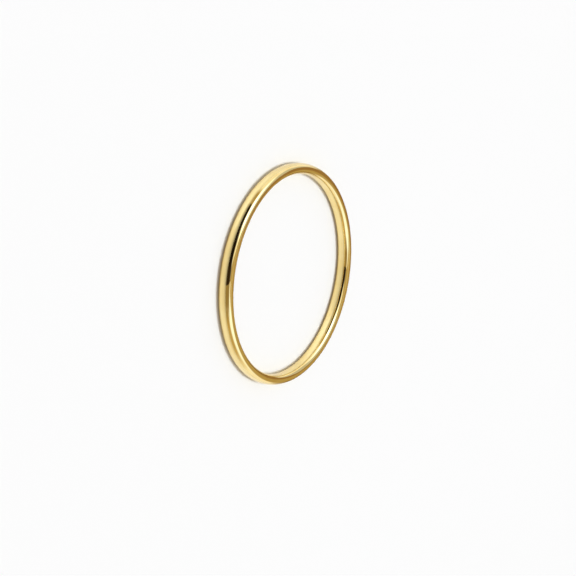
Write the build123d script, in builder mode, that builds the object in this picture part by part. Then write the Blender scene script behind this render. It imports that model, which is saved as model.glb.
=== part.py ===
from build123d import *

import math
import os

# A plain stacking ring: one seamless band with a domed outside and a
# comfort-fit (domed) inside.  Millimetres.  The ring lies on its side, so its
# axis is +Z, and the origin is the centre of the circle that it rests on.

# Driving dimensions
inner_diameter = 17.3  # finger size, measured at the crest of the inner dome
band_width = 1.26  # along the ring's axis
band_thickness = 0.91  # crest to crest, across the wall
side_land = 0.10  # narrow flat rim left on each side between the two domes
inner_rise = 0.45  # height of the dome that faces the finger
inner_shoulder = 0.42  # radius that rounds the inner dome into the side lands
outer_shoulder = 0.25  # the same on the outer dome, which is more pointed

# Sizes that follow from them
inner_radius = inner_diameter / 2
outer_rise = band_thickness - side_land - inner_rise
inner_land_edge = inner_radius + inner_rise
outer_land_edge = inner_land_edge + side_land
half_width = band_width / 2


def dome(land_edge, rise, shoulder, outward):
    """Draw one dome of the section as a crown arc between two shoulder arcs.

    The shoulders leave the side lands tangentially at land_edge, and the crown
    is tangent to both.  outward is 1 for the outer dome and -1 for the inner.
    """
    shoulder_height = half_width - shoulder
    crown = (half_width**2 + rise**2 - 2 * half_width * shoulder) / (2 * (rise - shoulder))
    crown_centre = land_edge + outward * (rise - crown)
    crown_half_angle = math.degrees(math.atan2(shoulder_height, crown - rise))
    shoulder_angle = 90 - crown_half_angle
    facing = 0 if outward > 0 else 180
    CenterArc((crown_centre, half_width), crown, facing - crown_half_angle, 2 * crown_half_angle)
    for turn in (1, -1):
        centre = (land_edge, half_width + outward * turn * shoulder_height)
        CenterArc(centre, shoulder, facing + turn * crown_half_angle, turn * shoulder_angle)


# The band: its section turned once round the ring's axis
with BuildPart() as ring_band:
    with BuildSketch(Plane.XZ):
        with BuildLine():
            dome(outer_land_edge, outer_rise, outer_shoulder, outward=1)
            dome(inner_land_edge, inner_rise, inner_shoulder, outward=-1)
            for rim_height in (0, band_width):
                Line((inner_land_edge, rim_height), (outer_land_edge, rim_height))
        make_face()
    revolve(axis=Axis.Z)

ring_band.part.label = "ring_band"

os.makedirs("parts", exist_ok=True)
export_step(ring_band.part, "parts/ring_band.step")
print(f"ring_band: {ring_band.part.volume:.2f} mm3, box {ring_band.part.bounding_box()}")
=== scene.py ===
import math

import bmesh
import bpy
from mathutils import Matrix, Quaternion, Vector


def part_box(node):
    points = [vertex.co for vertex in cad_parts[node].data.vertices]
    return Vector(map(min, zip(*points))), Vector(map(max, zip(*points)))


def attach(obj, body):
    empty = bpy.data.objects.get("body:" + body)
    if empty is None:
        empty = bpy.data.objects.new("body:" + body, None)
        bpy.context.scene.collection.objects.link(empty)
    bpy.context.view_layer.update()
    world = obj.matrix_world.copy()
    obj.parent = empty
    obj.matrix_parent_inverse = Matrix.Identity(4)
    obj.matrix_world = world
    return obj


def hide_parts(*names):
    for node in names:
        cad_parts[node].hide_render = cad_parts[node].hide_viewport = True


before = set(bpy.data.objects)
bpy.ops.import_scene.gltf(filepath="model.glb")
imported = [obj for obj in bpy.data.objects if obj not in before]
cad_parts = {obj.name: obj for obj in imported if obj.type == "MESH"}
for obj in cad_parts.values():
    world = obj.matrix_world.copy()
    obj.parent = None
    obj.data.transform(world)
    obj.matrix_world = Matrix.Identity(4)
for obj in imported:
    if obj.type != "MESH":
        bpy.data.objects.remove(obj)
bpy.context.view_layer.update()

# A plain polished gold stacking ring, lying on its side.  Metres; +Z is the ring's axis.

MM = 0.001
band_low, band_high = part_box("ring_band")
OUTER_RADIUS = band_high.x
BAND_WIDTH = band_high.z - band_low.z
BAND_THICKNESS = 0.91 * MM
SIDE_LAND = 0.10 * MM
INNER_RISE = 0.45 * MM
OUTER_RISE = BAND_THICKNESS - SIDE_LAND - INNER_RISE
INNER_LAND_EDGE = OUTER_RADIUS - OUTER_RISE - SIDE_LAND
RING_CENTRE = Vector((0, 0, band_low.z + BAND_WIDTH / 2))

# How full the two domes are: 0.5 is a true half ellipse, and more is squarer
OUTER_DOME_FULLNESS = 0.50
INNER_DOME_FULLNESS = 0.57
DOME_SEGMENTS = 40
STEPS_ROUND_THE_RING = 512
WELD_DISTANCE = 0.0001 * MM

# The section starts as a square of this half side, and is brought to size once it is rounded
SQUARE_HALF_SIDE = 1.0

# Gold finish: the plating's lighter and deeper tone, the roughness where it is brightest and
# where it is handled, what the marks add to that, and how deep each kind of mark is
GOLD_TONES = ((0.96, 0.775, 0.37), (0.92, 0.70, 0.29))
BRIGHT_ROUGHNESS = 0.02
HANDLED_ROUGHNESS = 0.06
WHEEL_LINE_ROUGHNESS = 0.02
HAIRLINE_ROUGHNESS = 0.14
WAVE_DEPTH = 0.012 * MM
WHEEL_LINE_DEPTH = 0.0006 * MM
HAIRLINE_DEPTH = 0.0008 * MM
WORN_CREST = 0.2 * MM

# Camera, measured from the ring
CAMERA_OFF_AXIS = math.radians(57.775)
CAMERA_ROLL = math.radians(100.31)
CAMERA_DISTANCE = 120.7 * MM
CAMERA_SENSOR = 36
CAMERA_LENS = 88.32
CAMERA_SHIFT = (-0.0013, -0.0236)
CAMERA_NEAREST = 1 * MM
CAMERA_FARTHEST = 10

# Light: a warm ambient level, and a large soft key that makes the floor neutral again
AMBIENT_LIGHT = (0.54, 0.50, 0.46)
KEY_DIRECTION = (-150, 88)
KEY_DISTANCE = 1.2
KEY_SIZE = 0.35
KEY_POWER = 8.0
KEY_COLOUR = (0.854, 0.927, 1.0)

# Floor: white paper with a lacquer gloss, which turns plain white from FADE_START to FADE_END
FLOOR_SIZE = 3
PAPER_COLOUR = (0.97, 0.97, 0.97)
PAPER_ROUGHNESS = 0.12
LACQUER_ROUGHNESS = 0.05
FADE_START = 0.12
FADE_END = 0.45

# Cards round the ring.  Azimuth 0 is the camera's side and 90 is +X.  Azimuth, half width, low
# and high are the angles that the card spans as the ring sees it, and the edges are the shares
# of the card, left, right, bottom and top, over which it fades away.
EDGES = ("Left", "Right", "Bottom", "Top")
COOL, GREY = (0.66, 0.78, 1.0), (0.96, 0.98, 1.0)
TAN, BROWN = (1.0, 0.77, 0.35), (1.0, 0.62, 0.26)
UPRIGHT, TILTED = True, False
CARDS = (
    # name, azimuth, half width, low, high, distance, upright, colour, brightness, edges
    ("black_flag", -12, 32, -1, 40, 0.160, UPRIGHT, BROWN, 0.01, (0.4, 0.01, 0.01, 0.35)),
    ("black_flag_low", -38, 26, -1, 29, 0.155, UPRIGHT, BROWN, 0.01, (0.2, 0.3, 0.01, 0.5)),
    ("black_flag_tall", 6, 14, -1, 66, 0.150, UPRIGHT, BROWN, 0.03, (0.6, 0.02, 0.01, 0.8)),
    ("tan_card_left", -68, 13, -1, 22, 0.165, UPRIGHT, TAN, 0.42, (0.4, 0.1, 0.01, 0.5)),
    ("tan_card_front", 40, 23, -1, 56, 0.168, UPRIGHT, TAN, 0.31, (0.01, 0.6, 0.01, 0.6)),
    ("tan_card_right", 78, 36, -1, 32, 0.175, UPRIGHT, TAN, 0.54, (0.05, 0.5, 0.01, 0.7)),
    ("tan_card_back", 168, 27, -1, 66, 0.170, UPRIGHT, TAN, 0.48, (0.3, 0.1, 0.01, 0.4)),
    ("brown_card_back", -164, 16, -1, 78, 0.160, UPRIGHT, BROWN, 0.33, (0.2, 0.2, 0.01, 0.2)),
    ("brown_strip_back", 180, 42, -1, 16, 0.150, UPRIGHT, BROWN, 0.14, (0.3, 0.3, 0.01, 0.6)),
    ("grey_card_back", -130, 25, 12, 88, 0.190, TILTED, GREY, 0.60, (0.1, 0.4, 0.2, 0.12)),
    ("tan_card_top", 5, 13, 46, 84, 0.195, TILTED, TAN, 0.50, (0.35, 0.2, 0.3, 0.1)),
    ("tan_card_above", 0, 24, 64, 114, 0.20, TILTED, TAN, 0.56, (0.2, 0.2, 0.2, 0.2)),
    ("softbox_left", -72, 38, 18, 68, 0.24, TILTED, COOL, 3.2, (0.5, 0.35, 0.25, 0.4)),
    ("softbox_right", 98, 48, 18, 84, 0.24, TILTED, COOL, 1.8, (0.3, 0.6, 0.4, 0.3)),
)


def deselect_all():
    if bpy.context.object and bpy.context.object.mode != "OBJECT":
        bpy.ops.object.mode_set(mode="OBJECT")
    bpy.ops.object.select_all(action="DESELECT")


def name_piece(name):
    """Give the object just added, and its mesh, a plain name."""
    piece = bpy.context.object
    piece.name = name
    piece.data.name = name
    return piece


def select_vertices(piece, wanted):
    """In edit mode, select just the vertices whose place passes the test."""
    bpy.ops.mesh.select_mode(type="VERT")
    bpy.ops.mesh.select_all(action="DESELECT")
    mesh = bmesh.from_edit_mesh(piece.data)
    for vertex in mesh.verts:
        vertex.select = wanted(vertex.co)
    mesh.select_flush(True)
    bmesh.update_edit_mesh(piece.data)


def round_corners(piece, wanted, fullness):
    """Turn the two selected corners of the square into one smooth dome."""
    select_vertices(piece, wanted)
    bpy.ops.mesh.bevel(
        affect="VERTICES", offset=SQUARE_HALF_SIDE, segments=DOME_SEGMENTS, profile=fullness
    )


def shape_section(band):
    """Round the square into the band's section, at its real size and beside the axis."""
    beyond = SQUARE_HALF_SIDE / 2

    # The outer dome, moved out by the side land before the inner dome is cut
    round_corners(band, lambda place: place.x > beyond, OUTER_DOME_FULLNESS)
    select_vertices(band, lambda place: place.x > -beyond)
    bpy.ops.transform.resize(value=(OUTER_RISE, 1, 1), center_override=(0, 0, 0))
    bpy.ops.transform.translate(value=(SIDE_LAND, 0, 0))
    round_corners(band, lambda place: place.x < -beyond, INNER_DOME_FULLNESS)
    select_vertices(band, lambda place: place.x < SIDE_LAND / 2)
    bpy.ops.transform.resize(value=(INNER_RISE, 1, 1), center_override=(0, 0, 0))

    bpy.ops.mesh.select_all(action="SELECT")
    bpy.ops.transform.resize(value=(1, 1, BAND_WIDTH / 2), center_override=(0, 0, 0))
    bpy.ops.transform.translate(value=(INNER_LAND_EDGE, 0, RING_CENTRE.z))


def weld():
    """In edit mode, merge the vertices that lie in one place."""
    bpy.ops.mesh.select_all(action="SELECT")
    bpy.ops.mesh.remove_doubles(threshold=WELD_DISTANCE)


def model_band():
    """Shape the band's section from a square, then spin it round the ring's axis."""
    deselect_all()
    standing = (math.radians(90), 0, 0)
    bpy.ops.mesh.primitive_plane_add(
        size=2 * SQUARE_HALF_SIDE, location=(0, 0, 0), rotation=standing
    )
    band = name_piece("polished_band")
    bpy.ops.object.transform_apply(location=True, rotation=True, scale=True)
    bpy.ops.object.mode_set(mode="EDIT")
    shape_section(band)
    bpy.ops.mesh.delete(type="ONLY_FACE")
    weld()
    bpy.ops.mesh.spin(
        steps=STEPS_ROUND_THE_RING, angle=math.tau, center=(0, 0, 0), axis=(0, 0, 1)
    )
    weld()
    bpy.ops.mesh.normals_make_consistent(inside=False)
    bpy.ops.object.mode_set(mode="OBJECT")
    bpy.ops.object.shade_smooth()
    return band


def new_material(name):
    material = bpy.data.materials.new(name)
    material.use_nodes = True
    return material, material.node_tree


def feed(tree, socket, value):
    """Set a socket to a plain number, or link another node's output to it."""
    if isinstance(value, (int, float)):
        socket.default_value = value
    else:
        tree.links.new(value, socket)


def add_math(tree, operation, first, second=0):
    node = tree.nodes.new("ShaderNodeMath")
    node.operation = operation
    feed(tree, node.inputs[0], first)
    feed(tree, node.inputs[1], second)
    return node.outputs["Value"]


def product(tree, first, second):
    return add_math(tree, "MULTIPLY", first, second)


def total(tree, first, second):
    return add_math(tree, "ADD", first, second)


def eased(tree, value, low, high, to_low=0, to_high=1):
    """Bring a value smoothly from one range to another, level outside it."""
    node = tree.nodes.new("ShaderNodeMapRange")
    node.interpolation_type = "SMOOTHSTEP"
    for name, given in (("Value", value), ("From Min", low), ("From Max", high),
                        ("To Min", to_low), ("To Max", to_high)):
        feed(tree, node.inputs[name], given)
    return node.outputs["Result"]


def mixed_shader(tree, share, first, second):
    """The first shader, with the given share of the second."""
    mix = tree.nodes.new("ShaderNodeMixShader")
    tree.links.new(share, mix.inputs["Fac"])
    tree.links.new(first, mix.inputs[1])
    tree.links.new(second, mix.inputs[2])
    return mix.outputs["Shader"]


def place_round_ring(tree):
    """Distance from the ring's axis, height, and the cosine and sine of the turn round it."""
    place = tree.nodes.new("ShaderNodeTexCoord")
    split = tree.nodes.new("ShaderNodeSeparateXYZ")
    tree.links.new(place.outputs["Object"], split.inputs["Vector"])
    x, y, height = (split.outputs[axis] for axis in "XYZ")
    radius = add_math(tree, "SQRT", total(tree, product(tree, x, x), product(tree, y, y)))
    cosine = add_math(tree, "DIVIDE", x, radius)
    sine = add_math(tree, "DIVIDE", y, radius)
    return radius, height, cosine, sine


def noise_round(tree, place, feature, turn_features, detail):
    """Noise that closes on itself round the ring: a feature's size across, and how many a turn."""
    radius, height, cosine, sine = place
    vector = tree.nodes.new("ShaderNodeCombineXYZ")
    feed(tree, vector.inputs["X"], product(tree, radius, 1 / feature))
    feed(tree, vector.inputs["Y"], product(tree, height, 1 / feature))
    feed(tree, vector.inputs["Z"], product(tree, cosine, turn_features))
    noise = tree.nodes.new("ShaderNodeTexNoise")
    noise.noise_dimensions = "4D"
    noise.inputs["Scale"].default_value = 1
    noise.inputs["Detail"].default_value = detail
    tree.links.new(vector.outputs["Vector"], noise.inputs["Vector"])
    feed(tree, noise.inputs["W"], product(tree, sine, turn_features))
    return noise.outputs["Fac"]


def hairline_wear(tree, place):
    """Fine hairlines in patches, strongest on the outer crest, where rings rub together."""
    streaks = noise_round(tree, place, feature=0.045 * MM, turn_features=7, detail=0)
    patches = noise_round(tree, place, feature=1.1 * MM, turn_features=14, detail=1)
    hairlines = product(
        tree, eased(tree, streaks, low=0.68, high=0.77), eased(tree, patches, low=0.46, high=0.62)
    )
    radius = place[0]
    crest = eased(tree, radius, OUTER_RADIUS - WORN_CREST, OUTER_RADIUS, to_low=0.3)
    return product(tree, hairlines, crest)


def polish_roughness(tree, smudges, wheel_lines, wear):
    """A bright polish, dulled a little by handling and along the hairlines."""
    handled = eased(tree, smudges, 0.35, 0.7, BRIGHT_ROUGHNESS, HANDLED_ROUGHNESS)
    lined = product(tree, wheel_lines, WHEEL_LINE_ROUGHNESS)
    return total(tree, total(tree, handled, lined), product(tree, wear, HAIRLINE_ROUGHNESS))


def plating_tone(tree, smudges, wheel_lines):
    """The plating is a shade deeper in places, and along the wheel's lines."""
    depth = total(tree, product(tree, smudges, 0.65), product(tree, wheel_lines, 0.35))
    tone = tree.nodes.new("ShaderNodeValToRGB")
    for stop, position, colour in zip(tone.color_ramp.elements, (0.35, 0.65), GOLD_TONES):
        stop.position = position
        stop.color = (*colour, 1)
    tree.links.new(depth, tone.inputs["Fac"])
    return tone.outputs["Color"]


def polish_relief(tree, waviness, wheel_lines, wear):
    """Gentle unevenness, then the wheel's lines and the hairlines over it."""
    normal = None
    for height, depth in ((waviness, WAVE_DEPTH), (wheel_lines, WHEEL_LINE_DEPTH),
                          (product(tree, wear, -1), HAIRLINE_DEPTH)):
        bump = tree.nodes.new("ShaderNodeBump")
        bump.inputs["Distance"].default_value = depth
        tree.links.new(height, bump.inputs["Height"])
        if normal:
            tree.links.new(normal, bump.inputs["Normal"])
        normal = bump.outputs["Normal"]
    return normal


def polished_gold():
    """Mirror-polished yellow gold: faint lines from the polishing wheel, hairlines and handling."""
    material, tree = new_material("polished_gold")
    place = place_round_ring(tree)
    wheel_lines = noise_round(tree, place, feature=0.18 * MM, turn_features=7, detail=2)
    waviness = noise_round(tree, place, feature=2.6 * MM, turn_features=5, detail=1)
    smudges = noise_round(tree, place, feature=1.3 * MM, turn_features=9, detail=3)
    wear = hairline_wear(tree, place)
    shader = tree.nodes["Principled BSDF"]
    shader.inputs["Metallic"].default_value = 1
    feed(tree, shader.inputs["Roughness"], polish_roughness(tree, smudges, wheel_lines, wear))
    feed(tree, shader.inputs["Base Color"], plating_tone(tree, smudges, wheel_lines))
    feed(tree, shader.inputs["Normal"], polish_relief(tree, waviness, wheel_lines, wear))
    return material


def soft_edges_group():
    """A mask that is 1 on a card and fades to 0 over the given share of it at each edge."""
    group = bpy.data.node_groups.new("soft_edges", "ShaderNodeTree")
    for edge in EDGES:
        group.interface.new_socket(edge, in_out="INPUT", socket_type="NodeSocketFloat")
    group.interface.new_socket("Mask", in_out="OUTPUT", socket_type="NodeSocketFloat")
    given = group.nodes.new("NodeGroupInput")
    result = group.nodes.new("NodeGroupOutput")
    place = group.nodes.new("ShaderNodeTexCoord")
    split = group.nodes.new("ShaderNodeSeparateXYZ")
    group.links.new(place.outputs["Generated"], split.inputs["Vector"])
    across, up = split.outputs["X"], split.outputs["Y"]
    inward = (across, add_math(group, "SUBTRACT", 1, across),
              up, add_math(group, "SUBTRACT", 1, up))
    mask = 1
    for edge, distance in zip(EDGES, inward):
        mask = product(group, mask, eased(group, distance, 0, given.outputs[edge]))
    group.links.new(mask, result.inputs["Mask"])
    return group


def card_material(name, colour, brightness, edges, soft_edges):
    """A card of an even brightness that fades away softly at its edges."""
    material, tree = new_material(name)
    tree.nodes.remove(tree.nodes["Principled BSDF"])
    glow = tree.nodes.new("ShaderNodeEmission")
    glow.inputs["Color"].default_value = (*colour, 1)
    glow.inputs["Strength"].default_value = brightness
    clear = tree.nodes.new("ShaderNodeBsdfTransparent")
    mask = tree.nodes.new("ShaderNodeGroup")
    mask.node_tree = soft_edges
    for edge, share in zip(EDGES, edges):
        mask.inputs[edge].default_value = share
    card = mixed_shader(
        tree, mask.outputs["Mask"], clear.outputs["BSDF"], glow.outputs["Emission"]
    )
    tree.links.new(card, tree.nodes["Material Output"].inputs["Surface"])
    return material


def direction_from(azimuth, elevation):
    """Unit vector to a place round the ring.  Azimuth 0 is -Y, the camera's side, and 90 is +X."""
    azimuth, elevation = math.radians(azimuth), math.radians(elevation)
    return Vector((
        math.sin(azimuth) * math.cos(elevation),
        -math.cos(azimuth) * math.cos(elevation),
        math.sin(elevation),
    ))


def facing_ring(direction):
    """The turn that points a card's or a lamp's +Z along the direction, away from the ring."""
    return direction.to_track_quat("Z", "Y").to_euler()


def studio_card(name, azimuth, half_width, low, high, distance, upright, material):
    """A card that spans the given angles as the ring sees it, and shows only in its polish."""
    deselect_all()
    if upright:
        facing = direction_from(azimuth, 0)
        bottom, top = (distance * math.tan(math.radians(edge)) for edge in (low, high))
        location = RING_CENTRE + facing * distance + Vector((0, 0, (bottom + top) / 2))
        half_height = (top - bottom) / 2
    else:
        facing = direction_from(azimuth, (low + high) / 2)
        location = RING_CENTRE + facing * distance
        half_height = distance * math.tan(math.radians((high - low) / 2))
    bpy.ops.mesh.primitive_plane_add(size=2, location=location, rotation=facing_ring(facing))
    card = name_piece(name)
    card.scale = (distance * math.tan(math.radians(half_width)), half_height, 1)
    card.data.materials.append(material)
    card.visible_camera = False
    card.visible_diffuse = False
    card.visible_shadow = False


def add_cards():
    """Black flags, tan and brown cards and two softboxes, which show only in the polish."""
    soft_edges = soft_edges_group()
    for name, azimuth, half_width, low, high, distance, upright, colour, brightness, edges in CARDS:
        material = card_material(name, colour, brightness, edges, soft_edges)
        studio_card(name, azimuth, half_width, low, high, distance, upright, material)


def add_key_light():
    """A large soft disk almost straight above, which the polish doesn't show."""
    bpy.ops.object.light_add(type="AREA")
    key = bpy.context.object
    key.name = "key_light"
    direction = direction_from(*KEY_DIRECTION)
    key.location = RING_CENTRE + direction * KEY_DISTANCE
    key.rotation_euler = facing_ring(direction)
    key.data.shape = "DISK"
    key.data.size = KEY_SIZE
    key.data.energy = KEY_POWER
    key.data.color = KEY_COLOUR
    key.visible_glossy = False


def background_rays(tree):
    """1 for the rays that show the white background, straight on, in metal or through glass."""
    rays = tree.nodes.new("ShaderNodeLightPath").outputs
    straight_or_mirrored = add_math(tree, "MAXIMUM", rays["Is Camera Ray"], rays["Is Glossy Ray"])
    return add_math(tree, "MAXIMUM", straight_or_mirrored, rays["Is Transmission Ray"])


def lacquered_paper(tree):
    """Matt paper, with a lacquer gloss where the ring's polish reflects it."""
    lacquered = tree.nodes["Principled BSDF"]
    lacquered.inputs["Base Color"].default_value = (*PAPER_COLOUR, 1)
    lacquered.inputs["Roughness"].default_value = PAPER_ROUGHNESS
    lacquered.inputs["Coat Weight"].default_value = 1
    lacquered.inputs["Coat Roughness"].default_value = LACQUER_ROUGHNESS
    matt = tree.nodes.new("ShaderNodeBsdfDiffuse")
    matt.inputs["Color"].default_value = (*PAPER_COLOUR, 1)
    mirrored = tree.nodes.new("ShaderNodeLightPath").outputs["Is Glossy Ray"]
    return mixed_shader(tree, mirrored, matt.outputs["BSDF"], lacquered.outputs["BSDF"])


def floor_material():
    """White paper that becomes a plain white background towards the horizon."""
    material, tree = new_material("white_paper")
    paper = lacquered_paper(tree)
    place = tree.nodes.new("ShaderNodeTexCoord")
    distance = tree.nodes.new("ShaderNodeVectorMath")
    distance.operation = "LENGTH"
    tree.links.new(place.outputs["Object"], distance.inputs[0])
    far = eased(tree, distance.outputs["Value"], FADE_START, FADE_END)
    white = tree.nodes.new("ShaderNodeEmission")
    fade = product(tree, far, background_rays(tree))
    floor = mixed_shader(tree, fade, paper, white.outputs["Emission"])
    tree.links.new(floor, tree.nodes["Material Output"].inputs["Surface"])
    return material


def add_floor():
    deselect_all()
    bpy.ops.mesh.primitive_plane_add(size=FLOOR_SIZE, location=(0, 0, band_low.z))
    floor = name_piece("studio_floor")
    floor.data.materials.append(floor_material())


def light_world():
    """The ambient level, and the white background that the camera and the polish see."""
    world = bpy.data.worlds.new("studio")
    bpy.context.scene.world = world
    world.use_nodes = True
    tree = world.node_tree
    colour = tree.nodes.new("ShaderNodeValToRGB")
    colour.color_ramp.elements[0].color = (*AMBIENT_LIGHT, 1)
    colour.color_ramp.elements[1].color = (1, 1, 1, 1)
    tree.links.new(background_rays(tree), colour.inputs["Fac"])
    tree.links.new(colour.outputs["Color"], tree.nodes["Background"].inputs["Color"])


def add_camera():
    direction = direction_from(0, 90 - math.degrees(CAMERA_OFF_AXIS))
    bpy.ops.object.camera_add(location=RING_CENTRE + direction * CAMERA_DISTANCE)
    camera = bpy.context.object
    camera.name = "camera"
    camera.rotation_mode = "QUATERNION"
    level = direction.to_track_quat("Z", "Y")
    camera.rotation_quaternion = level @ Quaternion((0, 0, 1), CAMERA_ROLL)
    camera.data.sensor_width = CAMERA_SENSOR
    camera.data.lens = CAMERA_LENS
    camera.data.shift_x, camera.data.shift_y = CAMERA_SHIFT
    camera.data.clip_start = CAMERA_NEAREST
    camera.data.clip_end = CAMERA_FARTHEST
    bpy.context.scene.camera = camera


bpy.context.scene.view_settings.view_transform = "Standard"
add_camera()

band = model_band()
band.data.materials.append(polished_gold())
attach(band, "root")
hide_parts("ring_band")

add_floor()
light_world()
add_cards()
add_key_light()
